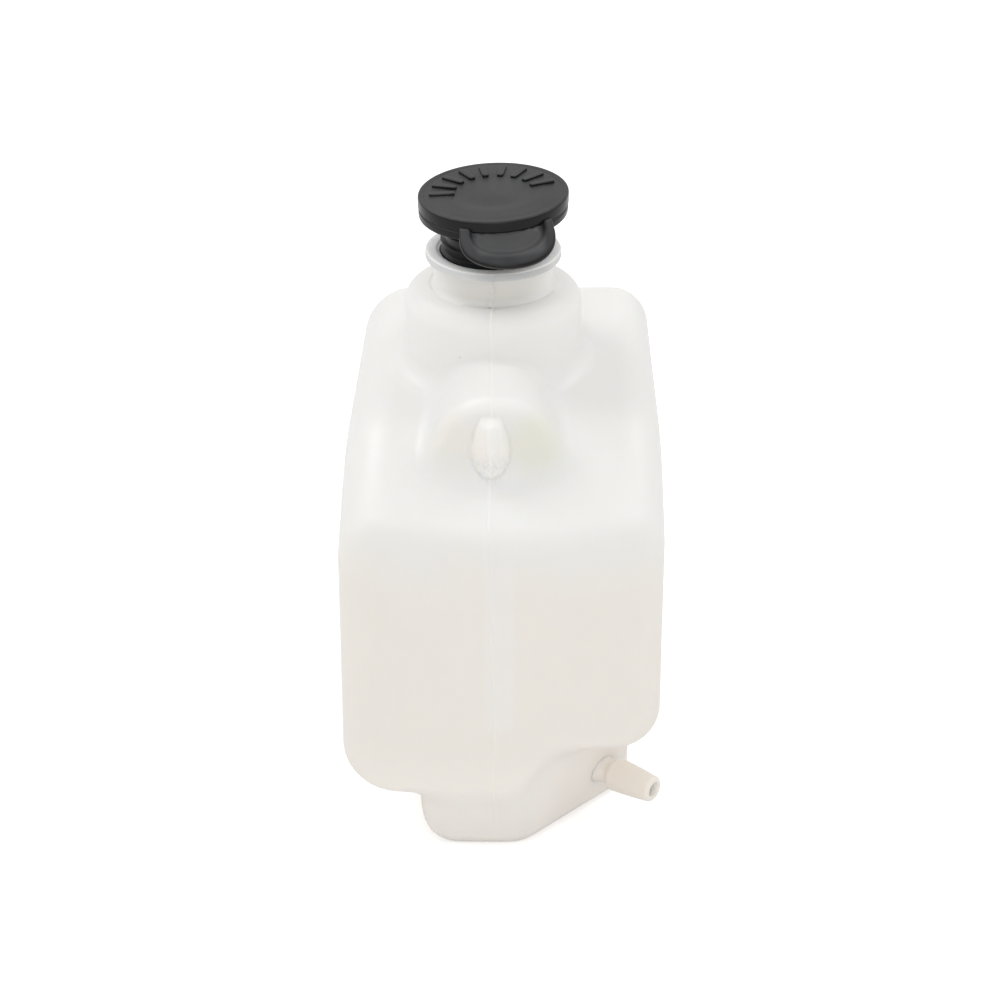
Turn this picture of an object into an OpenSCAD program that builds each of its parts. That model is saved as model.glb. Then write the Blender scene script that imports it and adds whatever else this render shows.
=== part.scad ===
// Coolant expansion tank: a translucent blow-moulded tank with a plug-in filler
// cap and a hose nipple welded into its sump.
// Z is the filler neck's axis, z = 0 is the foot, x = 0 is the mould's parting
// plane and the front faces -Y. Sizes are in millimetres.

/* [Body] */
// Parting plane to the left wall, at the front
left_front = 51; // [46:0.5:56]
// Parting plane to the left wall, at the back
left_back = 46; // [42:0.5:51]
// Parting plane to the right wall, at the front
right_front = 56.5; // [52:0.5:62]
// Parting plane to the right wall, at the back
right_back = 55; // [50:0.5:60]
// Neck axis to the nose of the front face
nose_reach = 81; // [76:0.5:90]
// Neck axis to the back wall
back_reach = 55; // [48:0.5:65]
// Height of the crease between the front face and the slope
crease_z = 121; // [112:0.5:126]
// Height of the plateau at the neck axis
plateau_z = 153.5; // [148:0.5:160]
// Height of the left half's underside
left_under_z = 20; // [16:0.5:28]
// Height of the right half's underside
right_under_z = 37.5; // [30:0.5:46]
// Thickness of the blown wall
wall = 2.2; // [1.6:0.1:3]

/* [Body angles] */
// Sweep of the front face's left half
nose_left = 7.5; // [3:0.5:12]
// Sweep of the front face's right half
nose_right = 6.5; // [3:0.5:12]
// Angle of the slope behind the crease
slope_angle = 36; // [30:1:42]
// Rise of the plateau towards the back
plateau_angle = 5.5; // [2:0.5:7]

/* [Body rounding] */
// Rounding of the front face's sides and foot
front_round = 8; // [5:0.5:12]
// Rounding of the crease at the front face's top
crease_round = 4.5; // [2:0.5:8]
// Rounding of the left shoulder
left_round = 17; // [10:0.5:20]
// Rounding of the right shoulder
right_round = 13; // [10:0.5:18]
// Rounding of the back edges
back_round = 11; // [8:0.5:16]
// Rounding under the left half
left_under_round = 18; // [10:0.5:20]
// Rounding under the right half
right_under_round = 15; // [10:0.5:18]

/* [Sump] */
// Parting plane to the sump's left wall
sump_left = 25; // [20:0.5:30]
// Parting plane to the sump's right wall
sump_right = 47.5; // [44:0.5:50]
// Nose of the front face to the sump's front, at the foot
sump_setback = 5.5; // [3:0.5:11]
// Neck axis to the sump's back wall
sump_back = 42; // [34:0.5:48]
// Lean of the sump's front
sump_lean = 8; // [4:0.5:12]
// Sideways turn of the slanted face that carries the nipple
slant_turn = 43; // [38:1:48]
// Lean of the slanted face
slant_lean = 13; // [8:0.5:16]
// Where the slanted face crosses the sump's front at the foot
slant_start = 13; // [8:0.5:18]
// Rounding of the sump's upright edges
sump_round = 5; // [4:0.5:8]
// Rounding of the sump's lower left edge
sump_left_round = 13; // [8:0.5:15]
// Fillet between the body and the sump
sump_fillet = 5; // [3:0.5:7]

/* [Bulge] */
// Height of the bulge's ridge
bulge_top_z = 161.8; // [158:0.2:166]
// Half width of the bulge where it meets the slope
bulge_half = 25.5; // [22:0.5:28]
// Nose of the front face to the bulge's face
bulge_setback = 18.5; // [15:0.5:23]
// Sweep of each half of the bulge's face
bulge_sweep = 14; // [8:1:20]
// Rounding of the bulge's ridge
bulge_round = 14; // [10:0.5:16]

/* [Pinched stub] */
// Radius of the stub where it is widest
stub_r = 6.3; // [4.5:0.1:7]
// Length of the stub
stub_len = 20; // [16:0.5:24]

/* [Collar and neck] */
// Radius of the collar
collar_r = 30; // [28:0.5:32]
// Height of the collar's top
collar_top_z = 179.5; // [175:0.5:184]
// Rounding of the collar's shoulder
collar_round = 6.5; // [4:0.5:8]
// Outer radius of the neck
neck_r = 20.2; // [19.5:0.1:22]
// Wall of the neck
neck_wall = 2.1; // [1.6:0.1:2.6]
// Length of the neck below its flange
neck_len = 9.8; // [7:0.2:14]
// Radius of the flange round the mouth
flange_r = 23; // [22.6:0.2:26]
// Thickness of the flange
flange_t = 3; // [2:0.2:4]

/* [Cap] */
// Radius of the cap's disc
disc_r = 25.3; // [24:0.1:28]
// Thickness of the disc
disc_t = 7.4; // [6:0.2:9]
// Gap between the flange and the disc, with the cap partly pulled
cap_lift = 13.2; // [10:0.2:16]
// Length of the plug below the disc
plug_len = 19.2; // [17:0.2:24]
// Wall of the hollow plug
plug_wall = 3; // [2:0.2:4]
// Height of a sealing rib
rib_h = 1.6; // [1:0.1:2]
// How far a sealing rib stands out of the plug
rib_out = 1.2; // [0.8:0.1:1.6]
// Spacing of the sealing ribs
rib_pitch = 4; // [3:0.25:5]
// Clearance between the ribs and the neck's bore
rib_gap = 0.25; // [0.15:0.05:0.4]
// Number of raised bars on the disc
bar_count = 9; // [5:1:13]
// Length of a raised bar
bar_len = 8.5; // [5:0.1:10]
// Width of a raised bar
bar_w = 2.2; // [1.2:0.1:2.6]
// Height of a raised bar
bar_h = 0.6; // [0.3:0.1:1]

/* [Pull tab] */
// Width of the pull tab
tab_w = 33.5; // [28:0.5:38]
// Reach of the tab's tip from the cap's axis
tab_reach = 36; // [33:0.2:38]
// Drop of the tab's tip below the disc
tab_drop = 9.5; // [7:0.1:12]
// Thickness of the tab
tab_t = 3; // [2:0.2:4]
// Sideways turn of the tab
tab_turn = 12; // [0:0.5:20]
// Width of the border round the tab's thumb panel
tab_border = 4.6; // [3:0.2:6]
// Depth of the thumb panel
panel_depth = 1; // [0.5:0.1:1.5]

/* [Nipple] */
// Height of the nipple's axis
nipple_z = 16.5; // [13:0.5:20]
// Sideways turn of the nipple
nipple_turn = 38; // [34:1:42]
// Place of the nipple's root along the slanted face
nipple_along = 32.75; // [28:0.25:34]
// Length of the nipple
nipple_len = 22; // [18:0.5:26]
// Radius of the nipple's barb
barb_r = 5.8; // [5:0.1:6.4]
// Radius of the nipple's stem
stem_r = 4.3; // [3.8:0.1:4.8]
// Radius of the nipple's bore
bore_r = 2.6; // [2:0.1:3]
// Radius of the welded foot at the nipple's root
weld_r = 6.4; // [6:0.1:7]

/* [Hidden] */
$fn = 96;
milky = [0.93, 0.925, 0.91];
black_rubber = [0.09, 0.09, 0.095];

// How far a shape reaches into the one that carries it, or past the one that it cuts
sink = 2;

// Softness of the front face's nose, of the slope's top and of the bulge's nose
nose_soft = 3.5;
slope_soft = 5;
bulge_soft = 2;
// Distance over which the crease's rounding turns into that of the front face's sides
crease_blend = 16;
// Rounding at the sump's foot, the bulge's front edge and the bulge's foot
foot_round = 5;
bulge_edge = 4;
bulge_fillet = 6;
// Lean of the bulge's face, flare of its sides and rise of its roof towards the collar
bulge_lean = 8;
bulge_flare = 19;
bulge_rise = 4.5;
// The bulge's reach from the neck's axis, its foot, its middle, and how deep it goes into the body
bulge_reach = nose_reach - bulge_setback;
bulge_foot_z = crease_z + 10.3;
bulge_x = 0.6;
bulge_deep_z = crease_z - 5;
// Where the left and right undersides change height, hidden inside the sump
step_from = 4;
step_to = 22;
// Where the side walls' taper is measured
taper_front = -59;
taper_back = 40;
// The sump's front at the foot, and how far up the sump reaches inside the body
sump_front = nose_reach - sump_setback;
sump_top_z = right_under_z + 25;
// Where the slanted face starts and ends at the foot
slant_y = sump_front - 3.2;
slant_end = slant_y - (sump_right - slant_start) / tan(slant_turn) - sump_round;

// The stub's root, its tilt out of the upright, and its outline from root to end: shares of
// its radius and of its length
stub_root = [-0.8, 6.5 - bulge_reach, bulge_top_z - 6];
stub_tilt = 18;
stub_outline = [[0.74, 0], [0.82, 0.15], [0.91, 0.32], [0.98, 0.46], [1, 0.56], [0.97, 0.68],
    [0.87, 0.8], [0.68, 0.9], [0.4, 0.97], [0, 1]];

// How deep the collar reaches into the body, and the levels and radii of the neck
collar_sink = 12;
collar_foot_z = plateau_z - collar_sink;
flange_z = collar_top_z + neck_len;
mouth_z = flange_z + flange_t;
mouth_r = neck_r - neck_wall;

// Underside of the cap's disc, and the radii of the ribs and the plug
disc_z = mouth_z + cap_lift;
rib_r = mouth_r - rib_gap;
plug_r = rib_r - rib_out;
// Share of a rib's height that its blunt tip takes
rib_tip = 0.3;
// Chamfers of the disc and of the plug's end, and the plug's roof under the disc
disc_edge = 1;
plug_edge = 0.6;
plug_roof = 1;
// Where the tab starts inside the disc's rim, its height there, its slope and its widest place
tab_root = disc_r - 1.5;
tab_root_z = disc_t - 3.2;
tab_angle = atan((tab_root_z + tab_drop - tab_t) / (tab_reach - disc_r));
tab_widest = disc_r - 2.9;
tab_taper = 1.5;
// Fan of raised bars: its middle, its spread and the bars' outer ends
bar_turn = 101;
bar_span = 164;
bar_to = disc_r - 3.8;
bar_sink = 0.5;

// The nipple along its axis: its root inside the sump, its weld, and where the barb begins
weld_in = 6;
weld_h = 1.5;
weld_slope = 1.7;
barb_from = 4.6;
barb_slope = 1;
barb_len = 3;
tip_r = stem_r + 0.2;
// How far the port reaches to either side of the slanted face
port_in = 8;
port_out = 4;
// Block that holds everything behind the slanted face near the nipple
block = [40, 140, 160];

// Centre that the blown surface is measured from
eye = [3, -13, 99];
far_reach = 180;
halvings = 15;
// Largest angle between two columns, outside and inside
outer_turn = 10;
inner_turn = 10;
// Angle beside each upright edge where the columns lie closer
edge_gap = 5;
// Tips of the rings that close over the top, from the eye's up
outer_tips = [85, 80, 75, 70.5, 66, 62, 58.5, 55, 51.5, 48, 44.5, 41, 37.5, 34, 30, 24, 16, 8];
inner_tips = [84, 77, 71, 65, 60, 55, 50, 45, 40, 35, 28, 16];
// Where the rings lie between two levels, close together next to each level
ring_steps = [0.02, 0.08, 0.18, 0.32, 0.5, 0.7, 0.86, 0.95, 0.99];
wall_steps = [0.01, 0.04, 0.1, 0.19, 0.35, 1];
inner_ring_steps = [0.03, 0.2, 0.45, 0.7, 0.88, 0.98];
inner_wall_steps = [0.02, 0.09, 0.25, 1];

// Rounded corner and rounded fillet of two surfaces' levels, negative inside
function round_max(a, b, r) = min(max(a, b), -r) + norm([max(a + r, 0), max(b + r, 0)]);
function round_min(a, b, r) = -round_max(-a, -b, r);
// Softened edge of two surfaces that meet at a shallow angle
function soft_max(a, b, k) = (a + b + norm([a - b, k])) / 2;
// Smooth step from 0 to 1
function ease(t) = let (s = min(max(t, 0), 1)) s * s * (3 - 2 * s);

// Level of a side wall that tapers from x0 at the front to x1 at the back
function side_wall(p, x0, x1, way) =
    let (dx = x1 - x0, dy = taper_back - taper_front, n = norm([dx, dy]))
    way * (dy * (p.x - x0) - dx * (p.y - taper_front)) / n;

// Level of the front face, two halves swept back from the nose
function front_face(p) =
    let (y = p.y + nose_reach)
    soft_max(-sin(nose_left) * p.x - cos(nose_left) * y,
             sin(nose_right) * p.x - cos(nose_right) * y, nose_soft);

// Level of the slope and the plateau
function top_face(p) = soft_max(
    -sin(slope_angle) * (p.y + nose_reach) + cos(slope_angle) * (p.z - crease_z),
    -sin(plateau_angle) * p.y + cos(plateau_angle) * (p.z - plateau_z), slope_soft);

// Level of the body without its front face
function core(p) =
    let (t = ease((p.x - step_from) / (step_to - step_from)),
         under_z = left_under_z + (right_under_z - left_under_z) * t,
         under_round = left_under_round + (right_under_round - left_under_round) * t,
         a = round_max(top_face(p), side_wall(p, -left_front, -left_back, -1), left_round),
         b = round_max(a, side_wall(p, right_front, right_back, 1), right_round),
         c = round_max(b, p.y - back_reach, back_round))
    round_max(c, under_z - p.z, under_round);

// Level of the slanted face that carries the nipple
function slant_face(p) =
    cos(slant_lean) * (cos(slant_turn) * (p.x - slant_start) - sin(slant_turn) * (p.y + slant_y))
    - sin(slant_lean) * p.z;

// Level of the sump
function sump(p) =
    let (front = -cos(sump_lean) * (p.y + sump_front) - sin(sump_lean) * p.z,
         a = round_max(front, slant_face(p), sump_round),
         b = round_max(a, p.x - sump_right, sump_round),
         c = round_max(b, p.y - sump_back, sump_round),
         d = round_max(c, -p.z, foot_round),
         e = round_max(d, -p.x - sump_left, sump_left_round))
    max(e, p.z - sump_top_z);

// Level of the bulge in front of the collar
function bulge(p) =
    let (x = p.x - bulge_x,
         h = p.z - bulge_foot_z,
         flank = cos(bulge_flare) * (abs(x) - bulge_half) + sin(bulge_flare) * h,
         reach = cos(bulge_sweep) * (p.y + bulge_reach),
         turned = sin(bulge_sweep) * x,
         face = soft_max(-turned - reach, turned - reach, bulge_soft),
         top = cos(bulge_rise) * (p.z - bulge_top_z) - sin(bulge_rise) * (p.y + bulge_reach),
         roof = round_max(flank, top, bulge_round),
         lean = cos(bulge_lean) * face + sin(bulge_lean) * h)
    max(round_max(roof, lean, bulge_edge), p.y, bulge_deep_z - p.z);

// Rounding round the front face, tighter where the slope and not a side wall meets it
function front_edge(p) =
    let (side = max(side_wall(p, -left_front, -left_back, -1), side_wall(p, right_front, right_back, 1)))
    front_round + (crease_round - front_round) * ease((top_face(p) - side) / crease_blend + 0.5);

// Level of the whole blown shape below the collar
function blown(p) = round_min(
    round_max(round_min(core(p), sump(p), sump_fillet), front_face(p), front_edge(p)),
    bulge(p), bulge_fillet);

// Distance from a point on the eye's axis, along d, to the surface inset inside the blown shape
function reach(from, d, inset, lo, hi, n) =
    let (m = (lo + hi) / 2)
    n == 0 ? m :
    blown(from + m * d) < -inset ? reach(from, d, inset, m, hi, n - 1)
                                 : reach(from, d, inset, lo, m, n - 1);
function heading(turn, tip) = [sin(tip) * cos(turn), sin(tip) * sin(turn), cos(tip)];
function surface_point(z, turn, tip, inset) =
    let (from = [eye.x, eye.y, z], d = heading(turn, tip))
    from + reach(from, d, inset, 1, far_reach, halvings) * d;

// Heights between two levels
function between(low, high, steps) = [for (s = steps) low + s * (high - low)];

// Headings of the upright edges seen from the eye, in the order of a full turn
function edge_turn(x, y) = atan2(y - eye.y, x - eye.x);
edge_turns = [
    edge_turn(slant_start, -sump_front),
    edge_turn(right_front, -nose_reach),
    edge_turn(sump_right, -slant_end),
    edge_turn(right_back, back_reach),
    edge_turn((step_from + step_to) / 2, sump_back),
    edge_turn(sump_left_round - sump_left, sump_back),
    edge_turn(-sump_left, sump_back),
    edge_turn(-left_back, back_reach),
    edge_turn(-left_front, -nose_reach) + 360,
    edge_turn(-sump_left, -sump_front) + 360,
    edge_turn(sump_left_round - sump_left, -sump_front) + 360,
];
// Columns from one upright edge to the next, close together at both
function columns(a, b, most) =
    let (edge = min(edge_gap, (b - a) / 3), n = ceil((b - a - 2 * edge) / most))
    [a, a + edge / 2, for (i = [0 : n]) a + edge + (b - a - 2 * edge) * i / n, b - edge / 2];
function turns_of(most) = [for (i = [0 : len(edge_turns) - 1])
    let (next = i + 1 < len(edge_turns) ? edge_turns[i + 1] : edge_turns[0] + 360)
    each columns(edge_turns[i], next, most)];

// Closed skin of the blown shape: level rings up the walls, then rings that close over the top
module skin(turns, tips, level_steps, side_steps, inset) {
    left_z = left_under_z + inset;
    right_z = right_under_z + inset;
    levels = concat(between(inset, left_z, level_steps), between(left_z, right_z, level_steps),
                    between(right_z, eye.z, side_steps));
    foot = [for (t = turns) let (p = surface_point(levels[0], t, 90, inset)) [p.x, p.y, inset]];
    walls = [for (i = [1 : len(levels) - 1], t = turns) surface_point(levels[i], t, 90, inset)];
    crown = [for (tip = tips, t = turns) surface_point(eye.z, t, tip, inset)];
    rows = len(levels) + len(tips);
    cols = len(turns);
    last = (rows - 1) * cols;
    poles = [surface_point(eye.z, 0, 0, inset), [eye.x, eye.y, inset]];
    quads = [for (i = [0 : rows - 2], j = [0 : cols - 1])
        let (k = (j + 1) % cols, a = i * cols, b = a + cols)
        each [[a + j, b + k, a + k], [a + j, b + j, b + k]]];
    ends = [for (j = [0 : cols - 1])
        let (k = (j + 1) % cols)
        each [[rows * cols, last + k, last + j], [rows * cols + 1, j, k]]];
    polyhedron(points = concat(foot, walls, crown, poles), faces = concat(quads, ends));
}

// Outline of the collar from the axis out, rounded at its shoulder
module collar_outline(r, top, round) {
    arc = [for (a = [90 : -15 : 0]) [r - round + round * cos(a), top - round + round * sin(a)]];
    polygon(concat([[0, collar_foot_z], [0, top]], arc, [[r, collar_foot_z]]));
}

// Pinched-off stub on the bulge's face
module stub() {
    outline = [for (q = stub_outline) [q.x * stub_r, q.y * stub_len]];
    translate(stub_root) rotate([-stub_tilt, 0, 0]) mirror([0, 0, 1])
        rotate_extrude() polygon(concat([[0, -sink]], outline));
}

// Puts its children at the nipple's root on the slanted face, with +Z out along the nipple
module at_nipple() {
    translate([slant_start, -slant_y, nipple_z]) rotate([0, 0, -slant_turn])
        translate([tan(slant_lean) * nipple_z, nipple_along, 0])
        rotate([0, 0, slant_turn - nipple_turn]) rotate([0, 90, 0]) children();
}

module tank_body() {
    color(milky) difference() {
        union() {
            skin(turns_of(outer_turn), outer_tips, ring_steps, wall_steps, 0);
            rotate_extrude() collar_outline(collar_r, collar_top_z, collar_round);
            translate([0, 0, collar_top_z - sink]) cylinder(r = neck_r, h = mouth_z - collar_top_z + sink);
            translate([0, 0, flange_z]) cylinder(r = flange_r, h = flange_t);
            stub();
        }
        skin(turns_of(inner_turn), inner_tips, inner_ring_steps, inner_wall_steps, wall);
        rotate_extrude() collar_outline(collar_r - wall, collar_top_z - wall, collar_round - wall);
        mouth_bore();
        at_nipple() translate([0, 0, -port_in]) cylinder(r = bore_r, h = port_in + port_out);
    }
}

module mouth_bore() {
    translate([0, 0, plateau_z]) cylinder(r = mouth_r, h = mouth_z - plateau_z + sink);
}

module outlet_nipple() {
    stem_from = weld_h + weld_slope;
    barb = barb_from + barb_slope;
    color(milky) difference() {
        at_nipple() rotate_extrude() polygon([[bore_r, -weld_in], [weld_r, -weld_in], [weld_r, weld_h],
            [stem_r, stem_from], [stem_r, barb_from], [barb_r, barb], [barb_r, barb + barb_len],
            [tip_r, nipple_len], [bore_r, nipple_len]]);
        slant_block();
    }
}

// Everything behind the slanted face, where the sump's wall is
module slant_block() {
    translate([slant_start, -slant_y, 0]) rotate([0, 0, -slant_turn]) rotate([0, slant_lean, 0])
        translate([-block.x, nipple_along - block.y / 2, -block.z / 2]) cube(block);
}

// One sealing rib's outline, a pointed lip
function rib(z) =
    let (half = rib_h / 2, tip = half * rib_tip)
    [[plug_r, z - half], [rib_r, z - tip], [rib_r, z + tip], [plug_r, z + half]];

// Disc and hollow plug with its sealing ribs, as one turned outline
module cap_core() {
    hollow = plug_r - plug_wall;
    count = floor((plug_len - rib_h) / rib_pitch);
    ribs = [for (k = [0 : count - 1]) each rib(rib_h - plug_len + k * rib_pitch)];
    plug = [[0, -plug_roof], [hollow, -plug_roof], [hollow, -plug_len], [plug_r - plug_edge, -plug_len]];
    disc = [[plug_r, 0], [disc_r - disc_edge, 0], [disc_r, disc_edge], [disc_r, disc_t - disc_edge],
        [disc_r - disc_edge, disc_t], [0, disc_t]];
    rotate_extrude() polygon(concat(plug, ribs, disc));
}

// Outline of the tab seen from above, with an oval tip, drawn in by an inset
module tab_outline(inset) {
    half = tab_w / 2 - inset;
    tip = tab_reach - tab_widest - inset;
    arc = [for (a = [0 : 10 : 180]) [half * cos(a), -tab_widest - tip * sin(a)]];
    polygon(concat([[half - tab_taper, 0]], arc, [[tab_taper - half, 0]]));
}

// Conical layer round the cap's axis that the tab lies in, from depth near to depth far
module tab_layer(near, far) {
    rise = (disc_r - tab_root) * tan(tab_angle);
    run = tab_reach + sink - disc_r;
    fall = run * tan(tab_angle);
    rotate_extrude() translate([disc_r, tab_root_z]) polygon([[tab_root - disc_r, rise - near],
        [run, -fall - near], [run, -fall - far], [tab_root - disc_r, rise - far]]);
}

// Upright block with the tab's outline, drawn in by an inset
module tab_block(inset) {
    translate([0, 0, -tab_drop - tab_t]) linear_extrude(tab_drop + tab_t + disc_t) tab_outline(inset);
}

// Pull tab, bent down from the disc's rim, with a sunk thumb panel
module pull_tab() {
    rotate([0, 0, tab_turn]) difference() {
        intersection() {
            tab_layer(0, tab_t / cos(tab_angle));
            tab_block(0);
        }
        intersection() {
            tab_layer(-sink, panel_depth / cos(tab_angle));
            tab_block(tab_border);
        }
    }
}

// Raised bars in a fan round the back of the disc
module bars() {
    for (i = [0 : bar_count - 1])
        rotate([0, 0, bar_turn - bar_span / 2 + bar_span * i / (bar_count - 1)])
            translate([bar_to - bar_len, -bar_w / 2, disc_t - bar_sink])
            cube([bar_len, bar_w, bar_h + bar_sink]);
}

module filler_cap() {
    color(black_rubber) translate([0, 0, disc_z]) {
        cap_core();
        pull_tab();
        bars();
    }
}

tank_body();
outlet_nipple();
filler_cap();
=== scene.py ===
import math
import bpy
import numpy as np
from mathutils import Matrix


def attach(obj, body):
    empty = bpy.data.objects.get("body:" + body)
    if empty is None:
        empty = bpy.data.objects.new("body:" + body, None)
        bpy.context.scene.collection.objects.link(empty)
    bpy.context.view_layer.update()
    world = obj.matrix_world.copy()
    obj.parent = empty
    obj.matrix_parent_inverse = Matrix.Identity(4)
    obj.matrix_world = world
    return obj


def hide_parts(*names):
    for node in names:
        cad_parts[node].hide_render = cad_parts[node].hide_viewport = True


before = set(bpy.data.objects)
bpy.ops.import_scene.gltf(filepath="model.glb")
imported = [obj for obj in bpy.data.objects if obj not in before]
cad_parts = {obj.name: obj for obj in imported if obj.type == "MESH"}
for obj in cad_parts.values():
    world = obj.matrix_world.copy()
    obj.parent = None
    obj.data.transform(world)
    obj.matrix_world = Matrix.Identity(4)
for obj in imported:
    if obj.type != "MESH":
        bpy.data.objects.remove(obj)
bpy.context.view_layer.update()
print("frame loaded")

millimetre = 0.001


def sind(angle):
    return math.sin(math.radians(angle))


def cosd(angle):
    return math.cos(math.radians(angle))


def ease(t):
    # smooth step: 3 t^2 - 2 t^3 between 0 and 1
    s = np.clip(t, 0, 1)
    return s * s * (3 - 2 * s)


def crowded(low, high, count):
    # heights from low to just below high, close together at both ends: (1 - cos) / 2 spacing
    return low + (high - low) * (1 - np.cos(np.pi * np.arange(count) / count)) / 2


def skin(rings, closeRows=False):
    # rings[row, column] joined by quads; each end ring is closed by a fan round its mean point,
    # or the last ring joins the first when closeRows is set
    rows, cols = rings.shape[:2]
    used = rows if closeRows else rows - 1
    a = np.arange(used)[:, None] * cols
    b = (np.arange(1, used + 1)[:, None] % rows) * cols
    j = np.arange(cols)[None]
    k = (j + 1) % cols
    quads = np.stack([a + j, a + k, b + k, b + j], -1).reshape(-1, 4)
    points = rings.reshape(-1, 3)
    if closeRows:
        return points, quads, np.zeros((0, 3), int)
    n = rows * cols
    points = np.vstack([points, rings[0].mean(0), rings[-1].mean(0)])
    j, k = j[0], k[0]
    last = (rows - 1) * cols
    fans = np.vstack([np.stack([np.full(cols, n), k, j], 1),
                      np.stack([np.full(cols, n + 1), last + j, last + k], 1)])
    return points, quads, fans


def newPiece(name, skins, material, body, replaced):
    # one mesh object from several closed skins, its points given in millimetres
    points, loops, starts, used, corner = [], [], [], 0, 0
    for skinPoints, quads, fans in skins:
        points.append(skinPoints)
        for faces in (quads, fans):
            loops.append((faces + used).ravel())
            starts.append(corner + np.arange(len(faces)) * faces.shape[1])
            corner += faces.size
        used += len(skinPoints)
    points, loops, starts = (np.concatenate(x) for x in (points, loops, starts))
    mesh = bpy.data.meshes.new(name)
    mesh.vertices.add(len(points))
    mesh.vertices.foreach_set("co", (points * millimetre).astype(np.float32).ravel())
    mesh.loops.add(len(loops))
    mesh.loops.foreach_set("vertex_index", loops.astype(np.int32))
    mesh.polygons.add(len(starts))
    mesh.polygons.foreach_set("loop_start", starts.astype(np.int32))
    mesh.update(calc_edges=True)
    mesh.validate()
    mesh.shade_smooth()
    mesh.materials.append(material)
    piece = bpy.data.objects.new(name, mesh)
    bpy.context.scene.collection.objects.link(piece)
    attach(piece, body)
    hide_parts(replaced)
    print(name, len(points), "points")


def turned(profile, angles):
    # surface of revolution about Z: (r cos a, r sin a, z) for each (r, z) of the profile
    r, z = np.array(profile, float).T
    c, s = np.cos(angles), np.sin(angles)
    return np.stack([r[:, None] * c, r[:, None] * s, z[:, None] + 0 * c], -1)


def rounded(corners, steps=5):
    # profile whose corners (r, z, radius) are cut back by the radius and joined by a quadratic arc
    out = []
    pts = np.array([c[:2] for c in corners], float)
    for i, (r, z, cut) in enumerate(corners):
        p = np.array([r, z], float)
        if cut == 0 or i in (0, len(corners) - 1):
            out.append(p)
            continue
        before, after = pts[i - 1] - p, pts[i + 1] - p
        start = p + before / np.linalg.norm(before) * cut
        end = p + after / np.linalg.norm(after) * cut
        t = np.linspace(0, 1, steps)[:, None]
        out.extend((1 - t) ** 2 * start + 2 * t * (1 - t) * p + t ** 2 * end)
    return np.array(out)


def addNode(tree, kind, links=None, **settings):
    # new node with its settings, each named input linked to a socket or given a value
    node = tree.nodes.new(kind)
    for key, value in settings.items():
        setattr(node, key, value)
    for key, value in (links or {}).items():
        if isinstance(value, bpy.types.NodeSocket):
            tree.links.new(value, node.inputs[key])
        else:
            node.inputs[key].default_value = value
    return node


def mixColour(tree, factor, a, b):
    # colour a where the factor is 0 and b where it is 1
    mix = addNode(tree, "ShaderNodeMix", data_type="RGBA")
    for socket, value in ((mix.inputs[0], factor), (mix.inputs[6], a), (mix.inputs[7], b)):
        if isinstance(value, bpy.types.NodeSocket):
            tree.links.new(value, socket)
        else:
            socket.default_value = value
    return mix.outputs[2]


def ramp(tree, value, low, high, outLow=0.0, outHigh=1.0):
    # smooth map of value from low..high to outLow..outHigh
    node = addNode(tree, "ShaderNodeMapRange", {"Value": value, "From Min": low, "From Max": high,
                   "To Min": outLow, "To Max": outHigh}, interpolation_type="SMOOTHSTEP")
    return node.outputs["Result"]


def newMaterial(name):
    material = bpy.data.materials.new(name)
    material.use_nodes = True
    tree = material.node_tree
    return material, tree, tree.nodes["Principled BSDF"]


def wearGroup():
    # shared effect: fine grain and broad blotches from two noises at Object coordinates, and a mask of
    # the faces that look up, where dust settles and where light is painted on
    group = bpy.data.node_groups.new("wearAndFacingMasks", "ShaderNodeTree")
    face = group.interface
    face.new_socket("Grain Scale", in_out="INPUT", socket_type="NodeSocketFloat")
    face.new_socket("Blotch Scale", in_out="INPUT", socket_type="NodeSocketFloat")
    for name in ("Grain", "Blotch", "Upward"):
        face.new_socket(name, in_out="OUTPUT", socket_type="NodeSocketFloat")
    inside = group.nodes.new("NodeGroupInput")
    outside = group.nodes.new("NodeGroupOutput")
    place = group.nodes.new("ShaderNodeTexCoord").outputs["Object"]
    grain = addNode(group, "ShaderNodeTexNoise", {"Vector": place, "Scale": inside.outputs[0],
                    "Detail": 4.0, "Roughness": 0.6})
    blotch = addNode(group, "ShaderNodeTexNoise", {"Vector": place, "Scale": inside.outputs[1],
                     "Detail": 3.0, "Roughness": 0.5})
    normal = group.nodes.new("ShaderNodeNewGeometry").outputs["Normal"]
    upward = addNode(group, "ShaderNodeSeparateXYZ", {"Vector": normal}).outputs["Z"]
    group.links.new(grain.outputs[0], outside.inputs["Grain"])
    group.links.new(blotch.outputs[0], outside.inputs["Blotch"])
    group.links.new(ramp(group, upward, 0.25, 0.8), outside.inputs["Upward"])
    return group


wearAndFacingMasks = wearGroup()


def wear(tree, grainScale, blotchScale):
    node = addNode(tree, "ShaderNodeGroup", node_tree=wearAndFacingMasks)
    node.inputs["Grain Scale"].default_value = grainScale
    node.inputs["Blotch Scale"].default_value = blotchScale
    return node


def distanceTo(tree, place, point):
    node = addNode(tree, "ShaderNodeVectorMath", {0: place, 1: point}, operation="DISTANCE")
    return node.outputs["Value"]


def patch(tree, place, spot):
    # round mask about a point: none at the outer distance, full strength at the inner one
    point, outer, inner, strength = spot
    return ramp(tree, distanceTo(tree, place, point), outer, inner, 0.0, strength)


def times(tree, a, b):
    return addNode(tree, "ShaderNodeMath", {0: a, 1: b}, operation="MULTIPLY").outputs[0]


def plus(tree, a, b):
    return addNode(tree, "ShaderNodeMath", {0: a, 1: b}, operation="ADD", use_clamp=True).outputs[0]


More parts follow.
